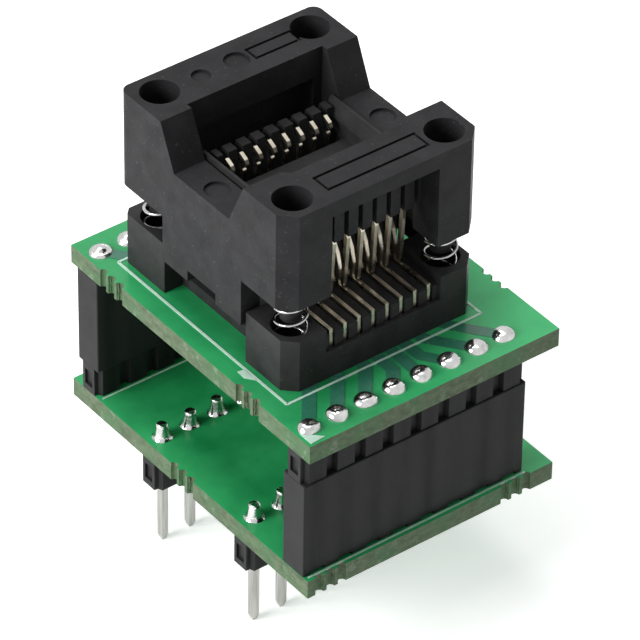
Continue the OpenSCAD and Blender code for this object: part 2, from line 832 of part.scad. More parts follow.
module coil_spring(sx, sy) {
    steps = 20;
    sides = 6;
    rings = turns * steps;
    z0 = floor_t + wire_r + eps;
    rise = cover_under - wire_r - eps - z0;
    points = [for (i = [0:rings]) for (k = [0:sides - 1])
        let (turn = 360 * i / steps, side = 360 * k / sides, r = coil_r + wire_r * cos(side))
            [r * cos(turn), r * sin(turn), z0 + rise * i / rings + wire_r * sin(side)]];
    tube = [for (i = [0:rings - 1]) for (k = [0:sides - 1])
        let (a = i * sides + k, b = i * sides + (k + 1) % sides)
            [a, a + sides, b + sides, b]];
    ends = [[for (k = [0:sides - 1]) k], [for (k = [0:sides - 1]) rings * sides + sides - 1 - k]];
    color("lightsteelblue") in_socket()
        translate([sx * spring_gap_x / 2, sy * spring_gap_y / 2, 0])
            polyhedron(points = points, faces = concat(tube, ends));
}

module spring_front_left() {
    coil_spring(-1, -1);
}

module spring_front_right() {
    coil_spring(1, -1);
}

module spring_back_left() {
    coil_spring(-1, 1);
}

module spring_back_right() {
    coil_spring(1, 1);
}

upper_board();
lower_board();
socket_base();
socket_cover();
spring_front_left();
spring_front_right();
spring_back_left();
spring_back_right();
front_contact_stems();
back_contact_stems();
for (i = [1:2 * chip_positions])
    contact_arm(i);
front_pin_insulator();
front_header_pins();
front_socket_header();
front_header_clips();
back_pin_insulator();
back_header_pins();
back_socket_header();
back_header_clips();
front_plug_insulator();
back_plug_insulator();
for (i = [1:2 * positions])
    plug_pin(i);
front_upper_joints();
back_upper_joints();
front_lower_joints();
back_lower_joints();
front_plug_joints();
back_plug_joints();
front_tail_joints();
back_tail_joints();
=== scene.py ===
# Chip test socket on a plug-in adapter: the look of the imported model.
import math

import bmesh
import bpy
import numpy as np
from mathutils import Matrix


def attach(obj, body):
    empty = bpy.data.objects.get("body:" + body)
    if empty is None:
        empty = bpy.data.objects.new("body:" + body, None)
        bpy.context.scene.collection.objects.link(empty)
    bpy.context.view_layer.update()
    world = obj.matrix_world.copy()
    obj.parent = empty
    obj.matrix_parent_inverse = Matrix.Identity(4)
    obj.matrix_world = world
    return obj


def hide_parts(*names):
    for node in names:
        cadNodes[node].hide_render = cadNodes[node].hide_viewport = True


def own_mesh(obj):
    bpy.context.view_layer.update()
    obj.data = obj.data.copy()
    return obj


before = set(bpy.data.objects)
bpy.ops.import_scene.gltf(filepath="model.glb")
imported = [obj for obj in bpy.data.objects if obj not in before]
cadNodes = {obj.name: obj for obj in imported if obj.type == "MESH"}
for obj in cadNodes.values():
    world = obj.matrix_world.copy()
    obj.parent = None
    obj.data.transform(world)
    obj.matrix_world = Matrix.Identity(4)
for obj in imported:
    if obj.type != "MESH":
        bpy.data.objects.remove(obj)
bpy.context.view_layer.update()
mm = 0.001
print("frame loaded")

# Places in the row frame, in millimetres, as in part.scad
place = {
    "pinX": -10.13,
    "pitch": 2.54,
    "frontRowY": -12.8,
    "backRowY": 12.6,
    "frontPlugY": -6.45,
    "backPlugY": 4.98,
    "lowerZ": 8.3,
    "lowerTop": 9.9,
    "upperZ": 20.94,
    "upperTop": 22.54,
    "socketX": -0.65,
    "socketY": 0.85,
    "chipPitch": 1.27,
    "boardW": 22.8,
    "boardD": 29.2,
    "boardT": 1.6,
    "tailY": 9.4,
}

# Folds of the mouldings' merged meshes, in degrees
fold = {"flat": 1, "round": 32, "bevel": 25}


def addNode(tree, kind, settings=None, **values):
    # A shader node with its properties and its sockets' plain values set.
    node = tree.nodes.new(kind)
    for key, value in (settings or {}).items():
        setattr(node, key, value)
    for key, value in values.items():
        node.inputs[key.replace("_", " ")].default_value = value
    return node


def startMaterial(name):
    # An empty node material: its tree, its surface shader and coordinates in mm.
    material = bpy.data.materials.new(name)
    material.use_nodes = True
    tree = material.node_tree
    shader = tree.nodes["Principled BSDF"]
    coords = tree.nodes.new("ShaderNodeTexCoord")
    scale = addNode(tree, "ShaderNodeMapping")
    scale.inputs["Scale"].default_value = (1000, 1000, 1000)
    tree.links.new(coords.outputs["Object"], scale.inputs["Vector"])
    return material, tree, shader, scale.outputs["Vector"]


def noiseOf(tree, vector, scale, detail=3.0, rough=0.5, distortion=0.0):
    # Smooth noise from 0 to 1, scale in cells per millimetre.
    noise = addNode(tree, "ShaderNodeTexNoise", Scale=scale, Detail=detail, Roughness=rough, Distortion=distortion)
    tree.links.new(vector, noise.inputs["Vector"])
    return noise.outputs["Fac"]


def remap(tree, value, low, high, outLow, outHigh):
    # A value between low and high, clamped, stretched to outLow and outHigh.
    node = addNode(tree, "ShaderNodeMapRange")
    for index, number in enumerate((low, high, outLow, outHigh)):
        node.inputs[index + 1].default_value = number
    tree.links.new(value, node.inputs[0])
    return node.outputs[0]


def mixColour(tree, factor, first, second):
    # Blend of two colours; each is a plain colour or another node's output.
    node = addNode(tree, "ShaderNodeMix", {"data_type": "RGBA"})
    for socket, value in ((node.inputs[0], factor), (node.inputs[6], first), (node.inputs[7], second)):
        if isinstance(value, (tuple, list)):
            socket.default_value = (*value, 1)
        elif isinstance(value, (int, float)):
            socket.default_value = value
        else:
            tree.links.new(value, socket)
    return node.outputs[2]


def mathOf(tree, operation, first, second=0.0):
    # One arithmetic node; each operand is a number or another node's output
    node = addNode(tree, "ShaderNodeMath", {"operation": operation})
    for socket, value in zip(node.inputs, (first, second)):
        if isinstance(value, (int, float)):
            socket.default_value = value
        else:
            tree.links.new(value, socket)
    return node.outputs[0]


def bumpFrom(tree, shader, height, strength, distance):
    # Relief of the surface, distance in millimetres.
    bump = addNode(tree, "ShaderNodeBump", Strength=strength, Distance=distance * mm)
    tree.links.new(height, bump.inputs["Height"])
    tree.links.new(bump.outputs["Normal"], shader.inputs["Normal"])


def grainMaterial(name, look):
    # Moulded plastic or metal: two tones, patches of gloss and a fine relief.
    material, tree, shader, vector = startMaterial(name)
    streaks = addNode(tree, "ShaderNodeMapping")
    streaks.inputs["Scale"].default_value = look.get("stretch", (1, 1, 1))
    tree.links.new(vector, streaks.inputs["Vector"])
    tone = remap(tree, noiseOf(tree, streaks.outputs["Vector"], look["toneScale"], 4), 0.3, 0.7, 0, 1)
    colour = mixColour(tree, tone, look["dark"], look["light"])
    if "bandPitch" in look:
        bands = addNode(tree, "ShaderNodeTexWave", {"bands_direction": "X"}, Scale=0.314 / look["bandPitch"],
                        Distortion=0.6, Detail=2.0)
        tree.links.new(vector, bands.inputs["Vector"])
        amount = remap(tree, bands.outputs["Fac"], 0, 1, 0, look["bandAmount"])
        colour = mixColour(tree, amount, colour, look["light"])
    if "speck" in look:
        specks = remap(tree, noiseOf(tree, vector, look["speckScale"], 2, 0.6), 0.66, 0.74, 0, look["speckAmount"])
        colour = mixColour(tree, specks, colour, look["speck"])
    tree.links.new(colour, shader.inputs["Base Color"])
    patches = noiseOf(tree, vector, look["glossScale"], 3, 0.6)
    tree.links.new(remap(tree, patches, 0.3, 0.7, *look["rough"]), shader.inputs["Roughness"])
    bumpFrom(tree, shader, noiseOf(tree, vector, look["reliefScale"], 3, 0.55), look["strength"], look["relief"])
    shader.inputs["Metallic"].default_value = look.get("metallic", 0)
    shader.inputs["Coat Weight"].default_value = look.get("coat", 0)
    shader.inputs["Coat Roughness"].default_value = look.get("coatRough", 0.1)
    shader.inputs["Specular IOR Level"].default_value = look.get("specular", 0.5)
    return material


looks = {
    "cover": {"dark": (0.0185, 0.0185, 0.020), "light": (0.029, 0.029, 0.031), "toneScale": 0.5,
              "speck": (0.14, 0.14, 0.14), "speckScale": 3.5, "speckAmount": 0.35, "specular": 0.09,
              "glossScale": 0.8, "rough": (0.4, 0.55), "reliefScale": 7, "strength": 0.6, "relief": 0.03},
    "base": {"dark": (0.021, 0.0205, 0.0215), "light": (0.036, 0.0355, 0.037), "toneScale": 0.6,
             "speck": (0.12, 0.12, 0.12), "speckScale": 3, "speckAmount": 0.3, "specular": 0.1,
             "glossScale": 0.7, "rough": (0.34, 0.5), "reliefScale": 8, "strength": 0.3, "relief": 0.02},
    "header": {"dark": (0.009, 0.009, 0.0095), "light": (0.025, 0.025, 0.026), "toneScale": 0.7,
               "bandPitch": 2.54, "bandAmount": 0.85,
               "stretch": (1, 1, 0.06),
               "speck": (0.07, 0.07, 0.07), "speckScale": 4, "speckAmount": 0.3, "specular": 0.1,
               "glossScale": 0.5, "rough": (0.36, 0.5), "reliefScale": 7, "strength": 0.25, "relief": 0.015},
    "pin": {"dark": (0.30, 0.295, 0.28), "light": (0.52, 0.51, 0.49), "toneScale": 4.5, "metallic": 1,
            "stretch": (1, 1, 0.05),
            "glossScale": 1.5, "rough": (0.14, 0.26), "reliefScale": 3, "strength": 0.1, "relief": 0.006},
    "solder": {"dark": (0.46, 0.47, 0.46), "light": (0.72, 0.72, 0.71), "toneScale": 1.4, "metallic": 1,
               "glossScale": 2.2, "rough": (0.07, 0.2), "reliefScale": 2.0, "strength": 0.55, "relief": 0.06},
    "contact": {"dark": (0.50, 0.45, 0.36), "light": (0.72, 0.67, 0.56), "toneScale": 0.8, "metallic": 1,
                "glossScale": 1.2, "rough": (0.26, 0.34), "reliefScale": 2, "strength": 0.05, "relief": 0.005},
    "wire": {"dark": (0.34, 0.34, 0.34), "light": (0.60, 0.60, 0.60), "toneScale": 1.1, "metallic": 1,
             "glossScale": 2, "rough": (0.1, 0.2), "reliefScale": 8, "strength": 0.2, "relief": 0.008},
    "print": {"dark": (0.44, 0.66, 0.54), "light": (0.60, 0.79, 0.68), "toneScale": 2.2,
              "speck": (0.25, 0.48, 0.35), "speckScale": 7, "speckAmount": 0.4,
              "glossScale": 2, "rough": (0.45, 0.6), "reliefScale": 9, "strength": 0.3, "relief": 0.01},
    "trace": {"dark": (0.022, 0.150, 0.088), "light": (0.034, 0.190, 0.118), "toneScale": 0.9,
              "glossScale": 0.8, "rough": (0.2, 0.3), "reliefScale": 4, "strength": 0.25, "relief": 0.012,
              "coat": 0.25, "coatRough": 0.12},
}
materials = {name: grainMaterial(name + "Finish", look) for name, look in looks.items()}

boardLook = {
    "maskDark": (0.010, 0.215, 0.064),
    "maskLight": (0.075, 0.640, 0.230),
    # Strengths of the painted light on the mask: lighter towards the board's rim and towards its right side
    "paintedRimLight": 0.28,
    "paintedRightLight": 0.5,
    "cloud": 0.25,
    "weavePitch": 0.45,
    "edgeDark": (0.052, 0.088, 0.040),
    "edgeLight": (0.125, 0.175, 0.098),
    "edgeGreen": (0.050, 0.155, 0.055),
    "edgePale": (0.250, 0.285, 0.220),
    "layerPitch": 0.36,
}


def boardMaterial(name, look):
    # Solder mask on the flat faces, with painted light that makes it lighter towards the rim and the right side,
    # layered glass laminate on the cut edges.
    material, tree, shader, vector = startMaterial(name)
    geometry = tree.nodes.new("ShaderNodeNewGeometry")
    parts = tree.nodes.new("ShaderNodeSeparateXYZ")
    tree.links.new(geometry.outputs["Normal"], parts.inputs[0])
    isFace = remap(tree, mathOf(tree, "ABSOLUTE", parts.outputs["Z"]), 0.6, 0.8, 0, 1)
    spot = tree.nodes.new("ShaderNodeSeparateXYZ")
    tree.links.new(vector, spot.inputs[0])
    farX = mathOf(tree, "DIVIDE", mathOf(tree, "ABSOLUTE", spot.outputs["X"]), place["boardW"] / 2)
    farY = mathOf(tree, "DIVIDE", mathOf(tree, "ABSOLUTE", spot.outputs["Y"]), place["boardD"] / 2)
    # Painted light and shade: the mask is lighter towards the board's rim and its right side and darker in the
    # middle under the socket, plus a random cloud of tone
    rimLightShare = remap(tree, mathOf(tree, "MAXIMUM", farX, farY), 0.7, 1, 0, look["paintedRimLight"])
    rightLightShare = remap(tree, spot.outputs["X"], -4, 11, 0, look["paintedRightLight"])
    cloud = remap(tree, noiseOf(tree, vector, 0.3, 4), 0.3, 0.7, 0, look["cloud"])
    paintedLightAndCloud = mathOf(tree, "MINIMUM", mathOf(tree, "ADD", mathOf(tree, "ADD", rimLightShare, rightLightShare), cloud), 1.0)
    mask = mixColour(tree, paintedLightAndCloud, look["maskDark"], look["maskLight"])
    weaveX = addNode(tree, "ShaderNodeTexWave", {"bands_direction": "X"}, Scale=0.32 / look["weavePitch"],
                     Distortion=0.8, Detail=2.0, Detail_Scale=1.5)
    weaveY = addNode(tree, "ShaderNodeTexWave", {"bands_direction": "Y"}, Scale=0.32 / look["weavePitch"],
                     Distortion=0.8, Detail=2.0, Detail_Scale=1.5)
    for weave in (weaveX, weaveY):
        tree.links.new(vector, weave.inputs["Vector"])
    crossing = mathOf(tree, "ADD", weaveX.outputs["Fac"], weaveY.outputs["Fac"])
    stretch = addNode(tree, "ShaderNodeMapping")
    stretch.inputs["Scale"].default_value = (0.9, 0.9, 1.7)
    tree.links.new(vector, stretch.inputs["Vector"])
    fibres = noiseOf(tree, stretch.outputs["Vector"], 1.3, 5, 0.65)
    layers = addNode(tree, "ShaderNodeTexWave", {"bands_direction": "Z"}, Scale=0.32 / look["layerPitch"],
                     Distortion=2.4, Detail=3.0, Detail_Scale=2.2)
    tree.links.new(vector, layers.inputs["Vector"])
    edge = mixColour(tree, remap(tree, fibres, 0.35, 0.65, 0, 1), look["edgeDark"], look["edgeLight"])
    tint = remap(tree, noiseOf(tree, vector, 0.35, 3), 0.42, 0.66, 0, 0.75)
    edge = mixColour(tree, tint, edge, look["edgeGreen"])
    edge = mixColour(tree, remap(tree, layers.outputs["Fac"], 0.5, 1, 0, 0.1), edge, look["edgeLight"])
    scuffs = remap(tree, noiseOf(tree, vector, 0.7, 5, 0.7), 0.56, 0.68, 0, 0.6)
    edge = mixColour(tree, scuffs, edge, look["edgePale"])
    tree.links.new(mixColour(tree, isFace, edge, mask), shader.inputs["Base Color"])
    tree.links.new(remap(tree, isFace, 0, 1, 0.62, 0.2), shader.inputs["Roughness"])
    relief = addNode(tree, "ShaderNodeMix")
    tree.links.new(isFace, relief.inputs[0])
    tree.links.new(fibres, relief.inputs[2])
    tree.links.new(remap(tree, crossing, 0, 2, 0.4, 0.6), relief.inputs[3])
    bumpFrom(tree, shader, relief.outputs[0], 0.4, 0.03)
    shader.inputs["Specular IOR Level"].default_value = 0.3
    shader.inputs["Coat Weight"].default_value = 0.08
    shader.inputs["Coat Roughness"].default_value = 0.12
    return material


materials["board"] = boardMaterial("boardFinish", boardLook)
print("materials made")


def dress(material, *names):
    # Gives CAD nodes a procedural finish without changing their meshes.
    for name in names:
        for slot in cadNodes[name].material_slots:
            slot.link = "OBJECT"
            slot.material = material


def addPiece(name, mesh, body, material):
    # A finished piece at the origin that rides on a CAD body.
    piece = bpy.data.objects.new(name, mesh)
    bpy.context.scene.collection.objects.link(piece)
    mesh.materials.clear()
    mesh.materials.append(material)
    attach(piece, body)
    return piece


def meshOf(name, points, faces, smoothAngle=40):
    # A mesh from millimetre points and faces, smooth up to an angle.
    mesh = bpy.data.meshes.new(name)
    mesh.from_pydata((np.asarray(points) * mm).tolist(), [], faces)
    mesh.shade_smooth()
    mesh.set_sharp_from_angle(angle=math.radians(smoothAngle))
    mesh.validate()
    return mesh


def gridFaces(rows, columns, first=0):
    # Quads between neighbouring rings of a grid that closes along its columns.
    row, column = np.meshgrid(np.arange(rows - 1), np.arange(columns), indexing="ij")
    following = (column + 1) % columns
    corners = (row * columns + column, row * columns + following,
               (row + 1) * columns + following, (row + 1) * columns + column)
    return (np.stack(corners, axis=-1).reshape(-1, 4) + first).tolist()


def ringCaps(rows, columns, first=0):
    # The two end faces of such a grid, facing outwards.
    bottom = (np.arange(columns)[::-1] + first).tolist()
    top = (np.arange(columns) + (rows - 1) * columns + first).tolist()
    return [bottom, top]


def markEdges(work, leastArea):
    # Bevel weight 1 on convex edges folded by over 25 degrees between two faces
    # that are both larger than the least area in square millimetres
    weight = work.edges.layers.float.new("bevel_weight_edge")
    for edge in work.edges:
        if edge.is_manifold and edge.is_convex and edge.calc_face_angle(0) > math.radians(fold["bevel"]):
            if min(face.calc_area() for face in edge.link_faces) > leastArea * mm * mm:
                edge[weight] = 1
    # Only narrow faces that meet a neighbour at 1 to 32 degrees belong to a round wall
    for face in work.faces:
        folds = any(math.radians(fold["flat"]) < edge.calc_face_angle(0) < math.radians(fold["round"])
                    for edge in face.edges)
        face.smooth = folds and face.calc_area() < 2 * mm * mm


def bevelledCopy(name, bevel, leastArea, body, material):
    # A CAD node's merged copy with small fillets, which stands for it. Merging joins
    # the separate faces of the frame's mesh, flat neighbours are dissolved, and the
    # marked edges get a fillet, which the modifier narrows so that none overlap.
    source = cadNodes[name]
    mesh = source.data.copy()
    work = bmesh.new()
    work.from_mesh(mesh)
    bmesh.ops.remove_doubles(work, verts=work.verts, dist=0.004 * mm)
    bmesh.ops.dissolve_limit(work, angle_limit=math.radians(fold["flat"]), verts=work.verts, edges=work.edges)
    bmesh.ops.recalc_face_normals(work, faces=work.faces)
    markEdges(work, leastArea)
    work.to_mesh(mesh)
    work.free()
    piece = addPiece(name + "Body", mesh, body, material)
    fillet = piece.modifiers.new("fillet", "BEVEL")
    fillet.width = bevel * mm
    fillet.segments = 2
    fillet.limit_method = "WEIGHT"
    fillet.use_clamp_overlap = True
    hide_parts(name)
    return piece


bevels = {
    "socket_cover": (0.2, 3.0, "cover", "moulded_cover", "cover"),
    "socket_base": (0.14, 3.0, "boards", "moulded_base", "base"),
    "front_socket_header": (0.1, 3.0, "boards", "header_plastic", "header"),
    "back_socket_header": (0.1, 3.0, "boards", "header_plastic", "header"),
    "front_pin_insulator": (0.07, 1.5, "boards", "header_plastic", "header"),
    "back_pin_insulator": (0.07, 1.5, "boards", "header_plastic", "header"),
    "front_plug_insulator": (0.07, 1.5, "boards", "header_plastic", "header"),
    "back_plug_insulator": (0.07, 1.5, "boards", "header_plastic", "header"),
}
for nodeName, (bevel, leastArea, body, slotName, finish) in bevels.items():
    bevelledCopy(nodeName, bevel, leastArea, body, materials[finish])
print("mouldings made")

plugPins = ["plug_pin_%d" % number for number in range(1, 17)]
arms = ["contact_arm_%d" % number for number in range(1, 17)]
dress(materials["board"], "upper_board", "lower_board")
dress(materials["pin"], "front_header_pins", "back_header_pins", "front_header_clips", "back_header_clips",
      *plugPins)
dress(materials["contact"], "front_contact_stems", "back_contact_stems", *arms)
print("frame dressed")

# Place of the dark plates of painted shade behind the comb slots, in millimetres
shadeSheet = {"x": 5.2, "y": (7.08, 7.18), "z": (10.03, 13.07)}


def makeShadeSheets():
    # Painted shade: thin dark plates of cover plastic inside the comb slots of the cover, which stand for the
    # shade behind the slots
    low, high = (place["upperTop"] + z for z in shadeSheet["z"])
    for name, side in (("frontCombShadeSheet", -1), ("backCombShadeSheet", 1)):
        near, far = sorted(place["socketY"] + side * y for y in shadeSheet["y"])
        left, right = place["socketX"] - shadeSheet["x"], place["socketX"] + shadeSheet["x"]
        ring = np.array([(left, near), (right, near), (right, far), (left, far)])
        points = np.concatenate([np.column_stack((ring, np.full(4, z))) for z in (low, high)])
        mesh = meshOf(name, points, gridFaces(2, 4) + ringCaps(2, 4), 30)
        addPiece(name, mesh, "cover", materials["cover"])


makeShadeSheets()
print("comb slots closed")

spring = {
    "x": 6.8,
    "y": 7.9,
    "coilR": 1.2,
    "wireR": 0.12,
    "bottom": 1.0,
    "top": 7.35,
    "turns": 6.5,
    "deadTurns": 0.8,
    "steps": 44,
    "sides": 12,
    "keep": 0.606,
}


def coilPoints(look, turnStart):
    # Round wire along a helix whose end turns lie flat.
    # Height follows a smoothed ramp of the turn number, and the tube's section is
    # spanned by the outward direction and the vertical.
    turn = np.linspace(0, look["turns"], int(look["turns"] * look["steps"]) + 1)
    active = (turn - look["deadTurns"]) / (look["turns"] - 2 * look["deadTurns"])
    ramp = np.clip(active, 0, 1)
    ramp = 0.85 * ramp + 0.15 * ramp * ramp * (3 - 2 * ramp)
    dead = 1.05 * look["wireR"] * (np.minimum(turn, look["deadTurns"])
                                   + np.maximum(turn - look["turns"] + look["deadTurns"], 0))
    low = look["bottom"] + look["wireR"]
    span = look["top"] - look["wireR"] - low - 2.1 * look["wireR"] * look["deadTurns"]
    height = low + span * ramp + dead
    angle = 2 * np.pi * turn + turnStart
    around = 2 * np.pi * np.arange(look["sides"]) / look["sides"]
    radius = look["coilR"] + look["wireR"] * np.cos(around)[None, :]
    x = radius * np.cos(angle)[:, None]
    y = radius * np.sin(angle)[:, None]
    z = height[:, None] + look["wireR"] * np.sin(around)[None, :]
    return np.stack((x, y, z), axis=-1)


def makeSprings():
    # The four coil springs between base and cover.
    for name, sideX, sideY, start in (("spring_front_left", -1, -1, 3.6), ("spring_front_right", 1, -1, 4.4),
                                      ("spring_back_left", -1, 1, 2.1), ("spring_back_right", 1, 1, 0.8)):
        points = coilPoints(spring, start)
        rows, columns = points.shape[:2]
        centre = (place["socketX"] + sideX * spring["x"], place["socketY"] + sideY * spring["y"],
                  place["upperTop"])
        faces = gridFaces(rows, columns) + ringCaps(rows, columns)
        faces = [face[::-1] for face in faces]
        mesh = meshOf(name + "Coil", points.reshape(-1, 3) + np.array(centre), faces)
        piece = addPiece(name + "Coil", mesh, "boards", materials["wire"])
        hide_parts(name)
        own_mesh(piece)


makeSprings()
print("springs made")

# Outlines of the joints as radius and height pairs in millimetres
joint = {
    "dome": [(0.9, 0.0), (0.89, 0.04), (0.86, 0.12), (0.81, 0.21), (0.74, 0.3), (0.65, 0.38), (0.54, 0.445),
             (0.42, 0.49), (0.28, 0.52), (0.14, 0.53), (0.02, 0.532)],
    "ring": [(0.9, 0.0), (0.88, 0.06), (0.83, 0.15), (0.76, 0.22), (0.68, 0.25), (0.6, 0.24), (0.53, 0.235),
             (0.47, 0.27), (0.42, 0.36), (0.37, 0.44), (0.28, 0.495), (0.14, 0.52), (0.02, 0.522)],
    "cone": [(0.78, 0.0), (0.73, 0.04), (0.67, 0.12), (0.61, 0.26), (0.56, 0.44), (0.52, 0.64), (0.48, 0.84),
             (0.45, 1.0), (0.44, 1.18), (0.4, 1.24), (0.28, 1.28), (0.14, 1.3), (0.02, 1.302)],
    "tail": [(0.56, 0.0), (0.52, 0.05), (0.45, 0.14), (0.38, 0.26), (0.33, 0.38), (0.29, 0.46), (0.2, 0.5),
             (0.1, 0.52), (0.02, 0.522)],
    "sides": 40,
}


def jointPoints(outline, centre, upward, rng):
    # One solder joint: a turned outline with a wavy foot and a slight lean.
    # The radius swells with two and three waves round the foot that fade towards
    # the tip, and the axis leans sideways with the square of the height.
    radius, height = np.array(outline).T
    angle = 2 * np.pi * np.arange(joint["sides"]) / joint["sides"]
    share = height / height.max()
    wave = (0.035 * np.sin(2 * angle + rng.uniform(0, 6.3)) + 0.025 * np.sin(3 * angle + rng.uniform(0, 6.3)))
    wide = radius[:, None] * (1 + wave[None, :] * (1 - share[:, None]))
    lean = rng.uniform(-0.05, 0.05, 2)
    grow = rng.uniform(0.96, 1.04)
    x = centre[0] + wide * np.cos(angle)[None, :] + lean[0] * share[:, None] ** 2
    y = centre[1] + wide * np.sin(angle)[None, :] + lean[1] * share[:, None] ** 2
    z = centre[2] + upward * grow * np.repeat(height[:, None], joint["sides"], axis=1)
    return np.stack((x, y, z), axis=-1)


def makeJoints(node, outline, centres, upward, seed):
    # All the solder joints of one row as one piece.
    rng = np.random.default_rng(seed)
    points, faces = [], []
    for centre in centres:
        grid = jointPoints(joint[outline], centre, upward, rng)
        rows, columns = grid.shape[:2]
        first = sum(len(part) for part in points)
        own = gridFaces(rows, columns, first) + ringCaps(rows, columns, first)
        faces += own if upward > 0 else [face[::-1] for face in own]
        points.append(grid.reshape(-1, 3))
    mesh = meshOf(node + "Solder", np.concatenate(points), faces, 60)
    piece = addPiece(node + "Solder", mesh, "boards", materials["solder"])
    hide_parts(node)


def pinCentres(y, z):
    # Places of a row's eight pins.
    return [(place["pinX"] + place["pitch"] * index, y, z) for index in range(8)]


def tailCentres(side):
    # Places of the contacts' soldered tails on one side of the socket.
    return [(place["socketX"] + (index - 3.5) * place["chipPitch"], place["socketY"] + side * place["tailY"],
             place["upperZ"]) for index in range(8)]


makeJoints("front_upper_joints", "dome", pinCentres(place["frontRowY"], place["upperTop"]), 1, 11)
makeJoints("back_upper_joints", "ring", pinCentres(place["backRowY"], place["upperTop"]), 1, 12)
makeJoints("front_lower_joints", "ring", pinCentres(place["frontRowY"], place["lowerZ"]), -1, 13)
makeJoints("back_lower_joints", "dome", pinCentres(place["backRowY"], place["lowerZ"]), -1, 14)
makeJoints("front_plug_joints", "cone", pinCentres(place["frontPlugY"], place["lowerTop"]), 1, 15)
makeJoints("back_plug_joints", "cone", pinCentres(place["backPlugY"], place["lowerTop"]), 1, 16)
makeJoints("front_tail_joints", "tail", tailCentres(-1), -1, 17)
makeJoints("back_tail_joints", "tail", tailCentres(1), -1, 18)
print("solder joints made")

printed = {
    "lineW": 0.2,
    "lowLineW": 0.14,
    "lift": 0.05,
    "outline": [(-9.83, -9.85), (7.92, -9.85), (7.92, 10.8), (-9.83, 10.8)],
    "cornerMark": [(-11.12, -14.38), (-9.8, -14.3), (-11.12, -13.0)],
    "arrow": [(-9.9, -6.4), (-9.9, -4.85), (-10.45, -4.75), (-10.5, -5.6)],
    "lowerLines": [[(-11.1, 11.2), (9.0, 11.2)], [(-11.1, -14.24), (9.0, -14.24)]],
    "traceW": 1.05,
    "traceLift": 0.035,
}


def ribbon(path, width, base, lift):
    # A flat strip of even width along a path on a board, with mitred bends.
    # Each path point is offset to both sides along the bisector of its two
    # directions, lengthened by one over the cosine of half the turn.
    path = np.asarray(path, float)
    direction = np.diff(path, axis=0)
    direction /= np.linalg.norm(direction, axis=1)[:, None]
    before = np.vstack((direction[:1], direction))
    after = np.vstack((direction, direction[-1:]))
    middle = before + after
    middle /= np.linalg.norm(middle, axis=1)[:, None]
    side = np.stack((-middle[:, 1], middle[:, 0]), axis=1) / np.sum(middle * after, axis=1)[:, None]
    left, right = path + side * width / 2, path - side * width / 2
    section = np.stack((left, right, right, left), axis=1)
    height = np.array([base + lift, base + lift, base - 0.02, base - 0.02])
    return np.concatenate((section, np.broadcast_to(height[None, :, None], (*section.shape[:2], 1))), axis=2)


def flatShape(corners, base, lift):
    # A thin flat plate with the given corners, as two rings of points.
    corners = np.asarray(corners, float)
    rings = [np.column_stack((corners, np.full(len(corners), height))) for height in (base - 0.02, base + lift)]
    return np.stack(rings)


def makeFlats(name, grids, material):
    # Several thin grids of points as one piece on the boards.
    points, faces = [], []
    for grid in grids:
        rows, columns = grid.shape[:2]
        first = sum(len(part) for part in points)
        faces += gridFaces(rows, columns, first) + ringCaps(rows, columns, first)
        points.append(grid.reshape(-1, 3))
    mesh = meshOf(name, np.concatenate(points), faces, 30)
    work = bmesh.new()
    work.from_mesh(mesh)
    bmesh.ops.recalc_face_normals(work, faces=work.faces)
    work.to_mesh(mesh)
    work.free()
    return addPiece(name, mesh, "boards", material)


def makePrint():
    # The pale printed outlines and marks on both boards.
    top, low, lift = place["upperTop"], place["lowerTop"], printed["lift"]
    corners = printed["outline"]
    sides = [(corners[index], corners[(index + 1) % 4]) for index in range(4)]
    grids = [ribbon(side, printed["lineW"], top, lift) for side in sides]
    grids += [flatShape(printed["cornerMark"], top, lift), flatShape(printed["arrow"], top, lift)]
    grids += [ribbon(line, printed["lowLineW"], low, lift) for line in printed["lowerLines"]]
    makeFlats("boardPrint", grids, materials["print"])


def makeTraces():
    # The wide copper tracks that fan out from the chip contacts to both rows.
    grids = []
    for side, rowY in ((-1, place["frontRowY"]), (1, place["backRowY"])):
        for index in range(8):
            pinX = place["pinX"] + place["pitch"] * index
            tailX = place["socketX"] + (index - 3.5) * place["chipPitch"]
            tailY = place["socketY"] + side * place["tailY"]
            reach = min(abs(tailX - pinX), 2.4) * np.sign(tailX - pinX)
            turnY = rowY - side * min(1.33 * abs(reach), 3.1)
            path = [(pinX, rowY), (pinX + reach, turnY), (tailX, tailY - side * 1.5)]
            grids.append(ribbon(path, printed["traceW"], place["upperTop"], printed["traceLift"]))
    makeFlats("copperTracks", grids, materials["trace"])


breakOff = {
    "upperSides": [(-11.4, -7.2), (-11.4, 9.5), (11.4, -7.2), (11.4, 9.5)],
    "lowerSides": [(-11.4, 0.75), (11.4, 0.75)],
    "lowerFront": [(-9.3, -14.6), (7.9, -14.6)],
    "pitch": 1.02,
    "nubW": 0.3,
    "rings": 7,
    "sides": 14,
}


def nubPoints(centre, outward, lowZ, highZ, rng):
    # One torn stub of laminate between two notches.
    # A half-round column up the board's edge whose radius is roughened with
    # random waves in height and angle, flattened against the edge.
    height = np.linspace(lowZ + 0.06, highZ - 0.06, breakOff["rings"])
    angle = 2 * np.pi * np.arange(breakOff["sides"]) / breakOff["sides"]
    rough = rng.uniform(0.72, 1.0, (breakOff["rings"], breakOff["sides"]))
    radius = breakOff["nubW"] * rough
    along = radius * np.cos(angle)[None, :]
    out = -0.2 + 0.55 * radius * np.sin(angle)[None, :]
    x = centre[0] + along * abs(outward[1]) + out * outward[0]
    y = centre[1] + along * abs(outward[0]) + out * outward[1]
    z = np.repeat(height[:, None], breakOff["sides"], axis=1)
    return np.stack((x, y, z), axis=-1)


